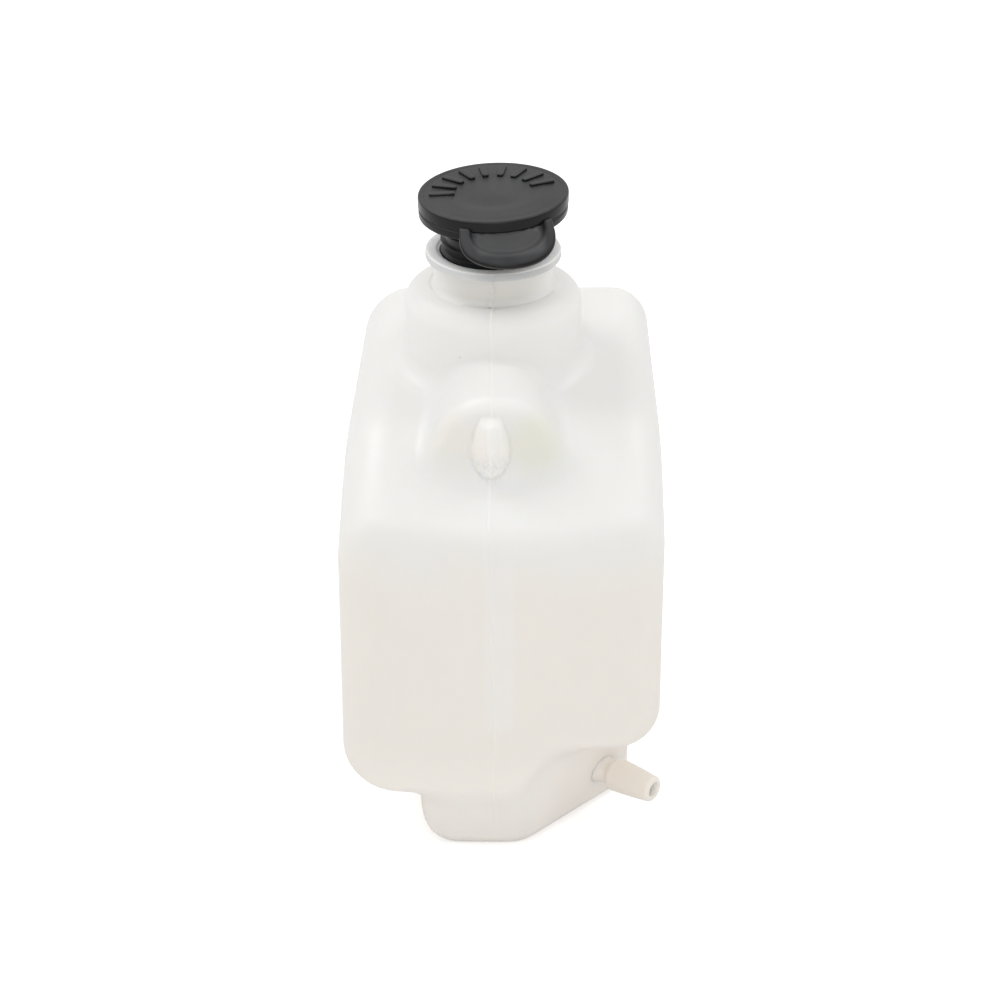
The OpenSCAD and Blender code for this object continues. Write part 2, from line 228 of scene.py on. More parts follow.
milky = {
    # upper and lower: painted warmth towards the sump, standing in for light travelling deeper through the
    # plastic
    "upper": (0.865, 0.855, 0.835, 1),
    "lower": (0.861, 0.815, 0.759, 1),
    # foot: painted light, lighter where the sump sits in the body's shade
    "foot": (0.91, 0.852, 0.795, 1),
    # painted reflection: a lighter upright band down the front
    "reflectionBand": (0.87, 0.845, 0.82, 1),
    # lip: painted lighter on top and darker on its side, with painted shade under the tab
    "lipTop": (0.96, 0.965, 0.965, 1),
    "lipSide": (0.60, 0.61, 0.615, 1),
    "lipShade": (0.40, 0.41, 0.42, 1),
    # grey for the painted shade over the plug and for the faint ring mark
    "plugShadeAndRing": (0.62, 0.60, 0.56, 1),
    "olive": (0.79, 0.775, 0.65, 1),
    "warm": (0.83, 0.78, 0.69, 1),
    "hose": (0.82, 0.77, 0.71, 1),
    # painted light inside the nipple's bore
    "bore": (0.97, 0.94, 0.90, 1),
    "fleck": (0.85, 0.50, 0.32, 1),
    # metres: where a mark begins and where it is full
    "lowerZ": (0.132, 0.092),
    "footZ": (0.045, 0.02),
    "bandX": 0.002,
    "bandHalf": (0.0065, 0.0035),
    "bandTopZ": (0.122, 0.112),
    "bandFootZ": (0.046, 0.052),
    "neckZ": (0.1805, 0.1885),
    # spots: point, outer distance, inner distance, strength
    "overPlug": ((0.0, -0.020, 0.186), 0.026, 0.008, 0.62),
    "underTab": ((0.008, -0.023, 0.190), 0.018, 0.009, 0.6),
    "rightFacet": ((0.0145, -0.058, 0.147), 0.0155, 0.005, 0.55),
    "leftFacet": ((-0.0135, -0.058, 0.147), 0.0155, 0.005, 0.4),
    "nipple": ((0.0555, -0.0645, 0.0165), 0.026, 0.014, 0.9),
    "boreLight": ((0.0539, -0.0614, 0.0165), 0.0034, 0.0030, 1.0),
    "stubEnd": ((-0.0008, -0.0650, 0.1405), 0.0078, 0.0050, 1.0),
    # faint ring: middle, radius, half its line's width
    "ringAt": (-0.0115, -0.0287, 0.1643),
    "ringR": 0.0008,
    "ringHalf": (0.0004, 0.0001),
    # patterns and surface
    "grainScale": 900.0,
    "blotchScale": 30.0,
    "crumbScale": 760.0,
    "fleckScale": 700.0,
    "grainRelief": 0.12,
    "bumpDistance": 0.0007,
    "roughness": 0.42,
    "inside": 0.7,
    "insideRadius": (1.0, 0.92, 0.82),
    "insideDepth": 0.003,
}


def milkyPlastic():
    # blown polyethylene with painted light and shade: painted warmth towards the sump and a painted
    # lighter foot, a painted reflection as a lighter band down the front, painted shade greying the neck
    # over the black plug, a lip painted lighter on top and darker on its side with painted shade under the
    # tab, a painted lighter bore in the nipple, tinted facets beside the stub, a granular torn end on the
    # stub and a faint ring in front of the collar
    material, tree, shader = newMaterial("milkyPolyethylene")
    marks = wear(tree, milky["grainScale"], milky["blotchScale"])
    place = tree.nodes.new("ShaderNodeTexCoord").outputs["Object"]
    axes = addNode(tree, "ShaderNodeSeparateXYZ", {"Vector": place})
    height = axes.outputs["Z"]
    # painted warmth: warmer and darker lower down, standing in for light travelling deeper through the
    # plastic, with broad blotches of tone at random
    lower = ramp(tree, height, *milky["lowerZ"])
    lowWarmthAndBlotch = plus(tree, lower, ramp(tree, marks.outputs["Blotch"], 0.35, 0.75, -0.1, 0.2))
    colour = mixColour(tree, lowWarmthAndBlotch, milky["upper"], milky["lower"])
    # painted light: the foot is painted lighter, standing in for light that the body above keeps off the
    # sump
    colour = mixColour(tree, ramp(tree, height, *milky["footZ"]), colour, milky["foot"])
    # painted reflection: a lighter upright band down the middle of the front, standing in for a soft
    # reflection on the face
    beside = addNode(tree, "ShaderNodeMath", {0: axes.outputs["X"], 1: milky["bandX"]},
                     operation="SUBTRACT")
    beside = addNode(tree, "ShaderNodeMath", {0: beside.outputs[0]}, operation="ABSOLUTE")
    reflectionBand = times(tree, ramp(tree, beside.outputs[0], *milky["bandHalf"]),
                 ramp(tree, height, *milky["bandTopZ"], 0.0, 0.6))
    reflectionBand = times(tree, reflectionBand, ramp(tree, height, *milky["bandFootZ"]))
    colour = mixColour(tree, reflectionBand, colour, milky["reflectionBand"])
    # painted shade: the neck is greyed over the black plug, whose shadow falls through the wall
    neckLow, neckHigh = milky["neckZ"]
    neckBand = times(tree, ramp(tree, height, neckLow - 0.0015, neckLow + 0.0015),
                     ramp(tree, height, neckHigh + 0.001, neckHigh - 0.001))
    overPlug = patch(tree, place, milky["overPlug"])
    colour = mixColour(tree, times(tree, neckBand, overPlug), colour, milky["plugShadeAndRing"])
    # painted light and shade on the lip: lighter where it faces up, darker on its side, and painted shade
    # on the side under the tab
    lipSide = mixColour(tree, patch(tree, place, milky["underTab"]), milky["lipSide"], milky["lipShade"])
    lip = mixColour(tree, marks.outputs["Upward"], lipSide, milky["lipTop"])
    onLip = ramp(tree, height, neckHigh - 0.0002, neckHigh + 0.0008, 0.0, 0.9)
    colour = mixColour(tree, onLip, colour, lip)
    colour = mixColour(tree, patch(tree, place, milky["rightFacet"]), colour, milky["olive"])
    colour = mixColour(tree, patch(tree, place, milky["leftFacet"]), colour, milky["warm"])
    colour = mixColour(tree, patch(tree, place, milky["nipple"]), colour, milky["hose"])
    # painted light: the nipple's bore is painted lighter against the shade that darkens its inside
    colour = mixColour(tree, patch(tree, place, milky["boreLight"]), colour, milky["bore"])
    torn = patch(tree, place, milky["stubEnd"])
    crumbs = addNode(tree, "ShaderNodeTexVoronoi", {"Vector": place, "Scale": milky["crumbScale"]},
                     feature="F1")
    fleckNoise = addNode(tree, "ShaderNodeTexNoise", {"Vector": place, "Scale": milky["fleckScale"],
                         "Detail": 1.0})
    fleck = times(tree, torn, ramp(tree, fleckNoise.outputs[0], 0.66, 0.76, 0.0, 0.25))
    colour = mixColour(tree, fleck, colour, milky["fleck"])
    # faint ring mark on the wall, drawn in the grey of the painted shade over the plug
    ringAway = addNode(tree, "ShaderNodeMath", {0: distanceTo(tree, place, milky["ringAt"]),
                       1: milky["ringR"]}, operation="SUBTRACT")
    ringLine = addNode(tree, "ShaderNodeMath", {0: ringAway.outputs[0]}, operation="ABSOLUTE")
    ring = ramp(tree, ringLine.outputs[0], *milky["ringHalf"], 0.0, 0.35)
    colour = mixColour(tree, ring, colour, milky["plugShadeAndRing"])
    tree.links.new(colour, shader.inputs["Base Color"])
    rough = ramp(tree, marks.outputs["Blotch"], 0.3, 0.7, milky["roughness"] - 0.06,
                 milky["roughness"] + 0.08)
    tree.links.new(rough, shader.inputs["Roughness"])
    relief = plus(tree, times(tree, marks.outputs["Grain"], milky["grainRelief"]),
                  times(tree, torn, crumbs.outputs["Distance"]))
    bump = addNode(tree, "ShaderNodeBump", {"Height": relief, "Strength": 0.5,
                   "Distance": milky["bumpDistance"]})
    tree.links.new(bump.outputs[0], shader.inputs["Normal"])
    shader.inputs["Subsurface Weight"].default_value = milky["inside"]
    shader.inputs["Subsurface Radius"].default_value = milky["insideRadius"]
    shader.inputs["Subsurface Scale"].default_value = milky["insideDepth"]
    shader.inputs["IOR"].default_value = 1.5
    return material


rubber = {
    "base": (0.007, 0.007, 0.008, 1),
    # settled dust and a painted sheen on the faces that look up
    "dustySheen": (0.056, 0.057, 0.060, 1),
    # painted light on the tab's panel
    "paintedPanelLight": (0.092, 0.093, 0.096, 1),
    "panel": ((0.0056, -0.0274, 0.2071), 0.0130, 0.0105, 0.75),
    "panelFootZ": (0.2020, 0.2036),
    "panelTopZ": (0.2114, 0.2100),
    "grainScale": 1400.0,
    "blotchScale": 45.0,
    "bumpDistance": 0.0004,
    "roughness": 0.22,
    "dustRoughens": 0.3,
    "specular": 0.24,
}


def blackRubber():
    # black rubber, lighter where it faces up and in broad blotches, from settled dust and a painted
    # sheen, and with a painted lighter patch on the thumb panel
    material, tree, shader = newMaterial("blackRubber")
    marks = wear(tree, rubber["grainScale"], rubber["blotchScale"])
    # settled dust and a painted sheen: faces that look up are lighter, in broad blotches
    settled = ramp(tree, marks.outputs["Blotch"], 0.32, 0.68, 0.26, 0.94)
    dustAndSheen = times(tree, marks.outputs["Upward"], settled)
    colour = mixColour(tree, dustAndSheen, rubber["base"], rubber["dustySheen"])
    place = tree.nodes.new("ShaderNodeTexCoord").outputs["Object"]
    height = addNode(tree, "ShaderNodeSeparateXYZ", {"Vector": place}).outputs["Z"]
    # painted light: a lighter patch on the tab's panel, which faces up towards the lamps
    paintedPanelLight = patch(tree, place, rubber["panel"])
    paintedPanelLight = times(tree, paintedPanelLight, ramp(tree, height, *rubber["panelFootZ"]))
    paintedPanelLight = times(tree, paintedPanelLight, ramp(tree, height, *rubber["panelTopZ"]))
    colour = mixColour(tree, times(tree, paintedPanelLight, marks.outputs["Upward"]), colour, rubber["paintedPanelLight"])
    tree.links.new(colour, shader.inputs["Base Color"])
    rough = addNode(tree, "ShaderNodeMapRange", {"Value": dustAndSheen, "To Min": rubber["roughness"],
                    "To Max": rubber["roughness"] + rubber["dustRoughens"]})
    tree.links.new(rough.outputs["Result"], shader.inputs["Roughness"])
    bump = addNode(tree, "ShaderNodeBump", {"Height": marks.outputs["Grain"], "Strength": 0.12,
                   "Distance": rubber["bumpDistance"]})
    tree.links.new(bump.outputs[0], shader.inputs["Normal"])
    shader.inputs["Specular IOR Level"].default_value = rubber["specular"]
    return material


plastic = milkyPlastic()
capRubber = blackRubber()
print("materials made")

# lengths in millimetres and angles in degrees, here and below
tank = {
    "leftFront": 51, "leftBack": 46, "rightFront": 56.5, "rightBack": 55,
    "noseReach": 81, "noseLeft": 7.5, "noseRight": 6.5, "noseBlend": 3.5, "backReach": 55,
    "creaseZ": 121, "slopeAngle": 36, "plateauZ": 153.5, "plateauAngle": 5.5, "slopeBlend": 5,
    "leftUnderZ": 20, "rightUnderZ": 37.5, "stepFrom": 4, "stepTo": 22, "wall": 2.2, "waves": 0.16,
    "frontRound": 8, "creaseRound": 4.5, "creaseBlend": 16, "leftRound": 17, "rightRound": 13,
    "backRound": 13.5, "leftUnderRound": 18, "rightUnderRound": 15,
    "taperFront": -59, "taperBack": 40, "eyeZ": 99.0, "columns": 256,
    # headings where the columns crowd: upright edges, then lines with extra density and spread
    "edges": (-124.2, -53, 45, 129.9, -108.3, 120.8, -80.2, -37, 41.5, -66, -113.7),
    "lines": ((-90, 2.5, 1.4), (-90.7, 5, 4.6), (90, 5, 1.4)),
}
sump = {
    "left": 25, "right": 47.5, "front": 75.5, "back": 42, "lean": 8, "top": 62.5,
    "slantTurn": 43, "slantLean": 13, "slantStart": 13, "slantY": 72.3,
    "round": 5, "leftRound": 13, "footRound": 5, "fillet": 5,
}
bulge = {
    "topZ": 161.8, "half": 25.5, "reach": 62.5, "sweep": 14, "faceBlend": 2, "ridge": 14,
    "footZ": 131.3, "x": 0.6, "deepZ": 116, "lean": 8, "flare": 19, "rise": 4.5, "edge": 4, "fillet": 6,
}
collar = {
    "r": 30, "topZ": 179.5, "round": 6.5, "deepZ": 140, "fillet": 6, "frontFillet": 3,
    "frontFrom": 0.74, "frontOver": 0.16, "crownR": 21.6, "innerR": 19.2,
    "neckR": 20.2, "flangeZ": 189.3, "flangeR": 23, "mouthZ": 192.3, "boreR": 18.1,
}
# parting line on the blown shape, then the flash that it becomes on the neck
seam = {"height": 0.26, "width": 0.34, "wander": 0.7, "fadeZ": 6}
flash = {
    "lowZ": 181, "highZ": 192, "height": 0.7, "width": 0.6, "lessFrom": 187.5, "lessOver": 1.5,
    "less": 0.55, "outsideR": 19.6, "meanR": 21,
}


def roundMax(a, b, r):
    # corner of radius r between two levels: max with its edge rolled over
    return np.minimum(np.maximum(a, b), -r) + np.hypot(np.maximum(a + r, 0), np.maximum(b + r, 0))


def roundMin(a, b, r):
    return -roundMax(-a, -b, r)


def softMax(a, b, k):
    # hyperbola between two levels that meet at a shallow angle
    return (a + b + np.hypot(a - b, k)) / 2


def sideWall(p, x0, x1, way):
    # distance from a wall that tapers from x0 at the front to x1 at the back
    dx, dy = x1 - x0, tank["taperBack"] - tank["taperFront"]
    return way * (dy * (p[0] - x0) - dx * (p[1] - tank["taperFront"])) / math.hypot(dx, dy)


def frontLevel(p):
    # two halves of the front face, swept back from the nose
    y = p[1] + tank["noseReach"]
    left, right = tank["noseLeft"], tank["noseRight"]
    return softMax(-sind(left) * p[0] - cosd(left) * y, sind(right) * p[0] - cosd(right) * y,
                   tank["noseBlend"])


def topLevel(p):
    # slope up from the crease, blended into the plateau that rises a little towards the back
    slope, rise = tank["slopeAngle"], tank["plateauAngle"]
    return softMax(-sind(slope) * (p[1] + tank["noseReach"]) + cosd(slope) * (p[2] - tank["creaseZ"]),
                   -sind(rise) * p[1] + cosd(rise) * (p[2] - tank["plateauZ"]),
                   tank["slopeBlend"])


def coreLevel(p):
    # body without its front: top, two sides, back and an underside that steps up on the right
    t = ease((p[0] - tank["stepFrom"]) / (tank["stepTo"] - tank["stepFrom"]))
    underZ = tank["leftUnderZ"] + (tank["rightUnderZ"] - tank["leftUnderZ"]) * t
    underRound = tank["leftUnderRound"] + (tank["rightUnderRound"] - tank["leftUnderRound"]) * t
    leftWall = sideWall(p, -tank["leftFront"], -tank["leftBack"], -1)
    rightWall = sideWall(p, tank["rightFront"], tank["rightBack"], 1)
    level = roundMax(topLevel(p), leftWall, tank["leftRound"])
    level = roundMax(level, rightWall, tank["rightRound"])
    level = roundMax(level, p[1] - tank["backReach"], tank["backRound"])
    return roundMax(level, underZ - p[2], underRound)


def sumpLevel(p):
    # box under the body with a leaning front, a slanted face for the nipple and rounded edges
    front = -cosd(sump["lean"]) * (p[1] + sump["front"]) - sind(sump["lean"]) * p[2]
    turn, lean = sump["slantTurn"], sump["slantLean"]
    slant = cosd(lean) * (cosd(turn) * (p[0] - sump["slantStart"]) - sind(turn) * (p[1] + sump["slantY"]))
    level = roundMax(front, slant - sind(lean) * p[2], sump["round"])
    level = roundMax(level, p[0] - sump["right"], sump["round"])
    level = roundMax(level, p[1] - sump["back"], sump["round"])
    level = roundMax(level, -p[2], sump["footRound"])
    level = roundMax(level, -p[0] - sump["left"], sump["leftRound"])
    return np.maximum(level, p[2] - sump["top"])


def bulgeLevel(p):
    # arched bulge in front of the collar, its face swept back from the middle and leaning
    x, h = p[0] - bulge["x"], p[2] - bulge["footZ"]
    flank = cosd(bulge["flare"]) * (abs(x) - bulge["half"]) + sind(bulge["flare"]) * h
    ahead, aside = cosd(bulge["sweep"]) * (p[1] + bulge["reach"]), sind(bulge["sweep"]) * x
    face = softMax(-aside - ahead, aside - ahead, bulge["faceBlend"])
    roof = cosd(bulge["rise"]) * (p[2] - bulge["topZ"]) - sind(bulge["rise"]) * (p[1] + bulge["reach"])
    level = roundMax(flank, roof, bulge["ridge"])
    level = roundMax(level, cosd(bulge["lean"]) * face + sind(bulge["lean"]) * h, bulge["edge"])
    return np.maximum(np.maximum(level, p[1]), bulge["deepZ"] - p[2])


def frontEdge(p):
    # rounding of the front face's edge: tighter at the crease, below the slope, than at the sides
    side = np.maximum(sideWall(p, -tank["leftFront"], -tank["leftBack"], -1),
                      sideWall(p, tank["rightFront"], tank["rightBack"], 1))
    share = ease((topLevel(p) - side) / tank["creaseBlend"] + 0.5)
    return tank["frontRound"] + (tank["creaseRound"] - tank["frontRound"]) * share


def blownLevel(p):
    # whole blown shape up to the collar's top, negative inside
    level = roundMin(coreLevel(p), sumpLevel(p), sump["fillet"])
    level = roundMax(level, frontLevel(p), frontEdge(p))
    level = roundMin(level, bulgeLevel(p), bulge["fillet"])
    away = np.hypot(p[0], p[1])
    ring = roundMax(away - collar["r"], p[2] - collar["topZ"], collar["round"])
    ahead = ease((-p[1] / np.maximum(away, 1) - collar["frontFrom"]) / collar["frontOver"])
    fillet = collar["fillet"] + (collar["frontFillet"] - collar["fillet"]) * ahead
    return roundMin(level, np.maximum(ring, collar["deepZ"] - p[2]), fillet)


def seamHeight(p):
    # raised parting line near x = 0: a narrow bell whose middle wanders a little with height
    z = p[2]
    middle = seam["wander"] * (0.9 * np.sin(z / 31.0 + 0.4) + 0.4 * np.sin(z / 7.3)) - 0.3
    middle = middle * np.where(p[1] < 0, 1, -1)
    lumps = 1 + 0.35 * np.sin(z / 2.1 + p[1] / 3.0) * np.sin(z / 5.7 + 1.0)
    bell = seam["height"] * lumps * np.exp(-((p[0] - middle) / seam["width"]) ** 2)
    return bell * ease((z - seam["fadeZ"]) / seam["fadeZ"])


stub = {
    "x": -0.8, "topZ": 157.6, "bottomZ": 136.0, "half": 6.3, "proud": 3.9, "frontY": -45,
    "topEase": 0.16, "footEase": 0.14, "tornFrom": 0.55, "tornOver": 0.15,
    "lumps": 0.4, "streaks": 0.15, "ridge": 0.4, "ridgeWidth": 0.8,
    "shares": ((0, 0.42), (0.08, 0.6), (0.25, 0.78), (0.45, 0.96), (0.56, 1), (0.7, 0.95), (0.82, 0.78),
               (0.92, 0.52), (0.97, 0.35), (1, 0.2)),
}


def stubHeight(p):
    # pinched-off stub on the bulge's face: a dome (1 - side^2)^0.6 over a drop outline, lumpy where torn
    x, z = p[0], p[2]
    down = (stub["topZ"] - z) / (stub["topZ"] - stub["bottomZ"])
    width = np.interp(down, *np.array(stub["shares"]).T)
    side = (x - stub["x"]) / (stub["half"] * width)
    ends = ease(down / stub["topEase"]) * ease((1 - down) / stub["footEase"]) * (p[1] < stub["frontY"])
    dome = np.clip(1 - side ** 2, 0, 1) ** 0.6 * np.sqrt(width) * ends
    torn = ease((down - stub["tornFrom"]) / stub["tornOver"]) * dome
    lumps = stub["lumps"] * np.sin(x * 3.3 + np.sin(z * 1.7)) * np.sin(z * 2.9 + np.sin(x * 2.1))
    streaks = stub["streaks"] * np.sin(x * 3.1 + 0.3 * np.sin(z / 2)) * (1 - torn)
    ridge = stub["ridge"] * np.exp(-((x - stub["x"] - 0.3 * np.sin(z / 1.9)) / stub["ridgeWidth"]) ** 2)
    return (stub["proud"] + streaks + ridge) * dome + torn * lumps


def outsideLevel(p):
    # the blown shape with its parting line, its stub and the slow waves of a blown wall
    waves = tank["waves"] * np.sin(p[0] / 15.0 + 0.7) * np.sin(p[2] / 19.0 + 1.1)
    return blownLevel(p) - seamHeight(p) - stubHeight(p) - waves * np.sin(p[1] / 23.0 + 0.3)


def reach(origin, heading, level, inset, farthest=180.0, halvings=24):
    # point along each heading where the level reaches -inset, found by halving the interval
    low, high = np.ones(heading.shape[1:]), np.full(heading.shape[1:], farthest)
    for halving in range(halvings):
        middle = (low + high) / 2
        inside = level(origin + middle * heading) < -inset
        low, high = np.where(inside, middle, low), np.where(inside, high, middle)
    return origin + (low + high) / 2 * heading


def ringsAt(heights, turns, level, inset):
    # flat rings: rays straight out from the axis at each height
    z = heights[:, None] + 0 * turns
    heading = np.stack([np.cos(turns) + 0 * z, np.sin(turns) + 0 * z, 0 * z])
    return np.moveaxis(reach(np.stack([0 * z, 0 * z, z]), heading, level, inset), 0, -1)


def crownAt(tips, turns, eyeZ, level, inset):
    # rings over the top: rays from one point on the axis, tipped from straight up
    tip = np.radians(tips)[:, None] + 0 * turns
    heading = np.stack([np.sin(tip) * np.cos(turns), np.sin(tip) * np.sin(turns), np.cos(tip)])
    origin = np.stack([0 * tip, 0 * tip, eyeZ + 0 * tip])
    return np.moveaxis(reach(origin, heading, level, inset), 0, -1)


def tankColumns():
    # headings round the axis, crowded at the upright edges, at the parting line and across the stub:
    # each edge or line adds a bell to an even density, and the headings share out its running sum
    fine = np.linspace(0, 360, 7201)
    density = np.ones_like(fine)
    for heading in tank["edges"]:
        density += 1.2 * np.exp(-(((fine - heading + 180) % 360 - 180) / 5) ** 2)
    for heading, extra, spread in tank["lines"]:
        density += extra * np.exp(-(((fine - heading + 180) % 360 - 180) / spread) ** 2)
    total = np.concatenate([[0], np.cumsum((density[1:] + density[:-1]) / 2)])
    return np.radians(np.interp(np.arange(tank["columns"]) / tank["columns"] * total[-1], total, fine))


def neckProfile():
    # from the collar's top up the neck, round the flange and down the bore
    c = collar
    foot, top, lip = c["topZ"], c["flangeZ"], c["mouthZ"]
    inside = c["topZ"] - tank["wall"]
    side = [(c["neckR"], z, 0) for z in np.linspace(foot + 1.8, top - 1, 13)]
    start = [(c["crownR"], foot, 0), (c["neckR"], foot, 1.4)]
    flange = [(c["neckR"], top, 0.7), (c["flangeR"], top, 0.8), (c["flangeR"], lip, 0.9),
              (c["boreR"] + 1.1, lip, 0.3), (c["boreR"] + 0.9, lip - 0.5, 0.3),
              (c["boreR"], lip - 0.6, 0.3)]
    return rounded(start + side + flange + [(c["boreR"], inside, 0.5), (c["innerR"], inside, 0)])


def neckRings(turns):
    # turned neck whose outside carries the mould's flash at the front: a lumpy bell along a wandering
    # line near x = 0, lower on the flange
    rings = turned(neckProfile(), turns)
    x, front = rings[..., 0], rings[..., 1] < 0
    z = np.clip(rings[..., 2], flash["lowZ"], flash["highZ"])
    middle = -0.5 + 0.4 * np.sin(z * 1.1) + 0.25 * np.sin(z * 2.7 + 1)
    rough = 1 + 0.5 * np.sin(z * 3.3) + 0.35 * np.sin(z * 7.9 + x * 4)
    rough *= 1 - flash["less"] * ease((z - flash["lessFrom"]) / flash["lessOver"])
    proud = flash["height"] * rough * np.exp(-((x - middle) / flash["width"]) ** 2) * front
    outside = np.hypot(x, rings[..., 1]) > flash["outsideR"]
    rings[..., :2] *= (1 + (proud * outside) / flash["meanR"])[..., None]
    return rings


def tankSkin():
    # one closed surface: foot, walls, crown, collar, neck, flange, bore, then the inner wall back down
    turns = tankColumns()
    low, high, wall, eyeZ = tank["leftUnderZ"], tank["rightUnderZ"], tank["wall"], tank["eyeZ"]
    sliver = 0.02
    heights = np.concatenate([crowded(0, low, 34), crowded(low, high, 34),
                              high + (eyeZ - high) * (np.arange(20) / 20) ** 1.6])
    heights[0] = sliver
    walls = ringsAt(heights, turns, outsideLevel, 0)
    walls[0, :, 2] = 0
    topTip = math.degrees(math.atan(collar["crownR"] / (collar["topZ"] - eyeZ)))
    tips = np.concatenate([np.linspace(90, 77, 11)[:-1], np.linspace(77, 61, 24)[:-1],
                           np.linspace(61, 44, 58)[:-1], np.linspace(44, 40, 8)[:-1],
                           np.linspace(40, 31, 14)[:-1], np.linspace(31, 20.5, 48)[:-1],
                           np.linspace(20.5, topTip, 14)])
    crown = crownAt(tips, turns, eyeZ, outsideLevel, 0)
    innerTips = np.concatenate([np.linspace(13.8, 30, 14), np.linspace(32, 90, 26)])
    innerCrown = crownAt(innerTips, turns, eyeZ, blownLevel, wall)
    innerHeights = high + wall + (eyeZ - high - wall) * (np.arange(8) / 8) ** 1.6
    steps = np.concatenate([innerHeights[::-1], crowded(low + wall, high + wall, 13)[::-1],
                            crowded(wall, low + wall, 13)[::-1]])
    steps[-1] = wall + sliver
    innerWalls = ringsAt(steps, turns, blownLevel, wall)
    innerWalls[-1, :, 2] = wall
    return skin(np.concatenate([walls, crown[1:], neckRings(turns)[1:], innerCrown, innerWalls]))


newPiece("tankShell", [tankSkin()], plastic, "tank", "tank_body")
print("tank made")

nipple = {
    "root": (38.12, -50.95, 16.5), "turn": -38, "length": 22, "sunk": 1.2, "flareR": 5.5,
    "stemR": 4.3, "barbR": 5.8, "boreR": 2.4, "footLean": 0.24, "leanTo": 3.6, "leanOver": 3.2,
}


def nippleSkin():
    # hose nipple turned about its own axis: flared root, stem, olive barb, then back down the bore
    n = nipple
    stem, barb, bore, flare, end = n["stemR"], n["barbR"], n["boreR"], n["flareR"], n["length"]
    outline = rounded([(bore, -n["sunk"], 0), (flare, -n["sunk"], 0.2), (flare, -0.2, 0.2),
                       (flare - 0.6, 0.5, 0.4), (stem + 0.1, 1.9, 0.9), (stem, 4.0, 0.9),
                       (barb, 5.6, 0.9), (barb, 8.8, 2.2), (stem + 1.0, 15.2, 2.5),
                       (stem + 0.2, end, 1.1), (bore + 0.2, end, 0.3), (bore, end - 1.0, 0.4),
                       (bore, -n["sunk"], 0)], 7)[:-1]
    a = np.linspace(0, 2 * np.pi, 97)[:-1]
    r, along = outline[:, :1], outline[:, 1:]
    axis = np.array([cosd(n["turn"]), sind(n["turn"]), 0])
    across = np.array([-sind(n["turn"]), cosd(n["turn"]), 0])
    rings = (np.array(n["root"]) + (along + 0 * a)[..., None] * axis
             + (r * np.cos(a))[..., None] * across + (r * np.sin(a))[..., None] * np.array([0, 0, 1.0]))
    # the foot follows the slanted face, which leans back from the nipple's axis
    lean = ease((n["leanTo"] - along) / n["leanOver"]) * (n["footLean"] * r * np.sin(a))
    rings += lean[..., None] * axis
    return skin(rings, closeRows=True)


newPiece("hoseNipple", [nippleSkin()], plastic, "tank", "outlet_nipple")
print("nipple made")

cap = {
    "z": 205.5, "r": 25.3, "thick": 6.9, "step": 2.6, "stepIn": 0.55, "recess": 0.5, "recessR": 23.4,
    "plugLength": 19.2, "plugR": 16.65, "plugWall": 3,
    "ribR": 17.85, "ribHeight": 1.6, "ribPitch": 4, "ribs": 4, "tilt": (0.038, 0.022), "tiltFrom": -7,
    "tiltOver": 6, "dishR": 17.0, "dishOver": 7.0, "dishDepth": 0.25, "crown": 0.2, "crownR": 6.0,
    "bars": 9, "barTurn": 101, "barSpan": 164, "barFrom": 13.0, "barTo": 21.5, "barWidth": 2.2,
    "barHeight": 0.6, "barSquare": 0.35,
}
tab = {
    "half": 16.5, "taper": 1.5, "widest": 24, "reach": 35.5, "rootY": -12, "hipY": -17, "middleY": -22.5,
    "rootZ": 4.3, "angle": 45, "shoulder": 0.5, "turn": 11.5, "thick": 3.0, "edge": 1.3, "lowEdge": 1.0,
    "panelFrom": 3.3, "border": 4.6, "panelDepth": 1.6, "around": 240,
}


def tilted(points):
    # the soft disc sits a little askew on its straight plug: z rises with x and y above the plug
    lean = ease((points[..., 2] - (cap["z"] + cap["tiltFrom"])) / cap["tiltOver"])
    points[..., 2] += (cap["tilt"][0] * points[..., 0] + cap["tilt"][1] * points[..., 1]) * lean
    return points


def capSkin():
    # hollow plug, its sealing ribs, then the disc's recessed underside, stepped rim and dished top
    c = cap
    end, top, r, step = -c["plugLength"], c["thick"], c["r"], c["step"]
    plug, rib, half = c["plugR"], c["ribR"], c["ribHeight"] / 2
    low, stepR = 0.1 - c["recess"], r - c["stepIn"]
    corners = [(0.3, -1, 0), (plug - c["plugWall"], -1, 1.0), (plug - c["plugWall"], end, 0.6),
               (plug - 0.1, end, 0.8)]
    for k in range(c["ribs"]):
        z = end + c["ribHeight"] + k * c["ribPitch"]
        corners += [(plug, z - half, 0.25), (rib, z - 0.2, 0.12), (rib, z + 0.25, 0.12),
                    (plug, z + half, 0.25)]
    corners += [(plug, 0.1, 1.0), (c["recessR"], 0.1, 0.3), (c["recessR"] + 0.3, low, 0.15),
                (r - 0.25, low, 0.7), (r - 0.15, step - 0.5, 0.2), (stepR, step - 0.1, 0.15),
                (stepR, step + 0.2, 0.15), (r, step + 0.6, 0.2), (r, top, 0.8),
                (r - 1.7, top - 0.05, 0.4), (r - 2.3, top - 0.15, 0.4), (r - 4, top - 0.1, 0)]
    rim = rounded(corners, 6)
    inward = np.linspace(r - 4.4, 0.4, 40)
    dish = top - 0.1 - c["dishDepth"] * ease((c["dishR"] - inward) / c["dishOver"])
    dish += c["crown"] * np.exp(-(inward / c["crownR"]) ** 2)
    profile = np.vstack([rim, np.stack([inward, dish], 1)])
    profile[:, 1] += c["z"]
    return skin(tilted(turned(profile, np.linspace(0, 2 * np.pi, 193)[:-1])))


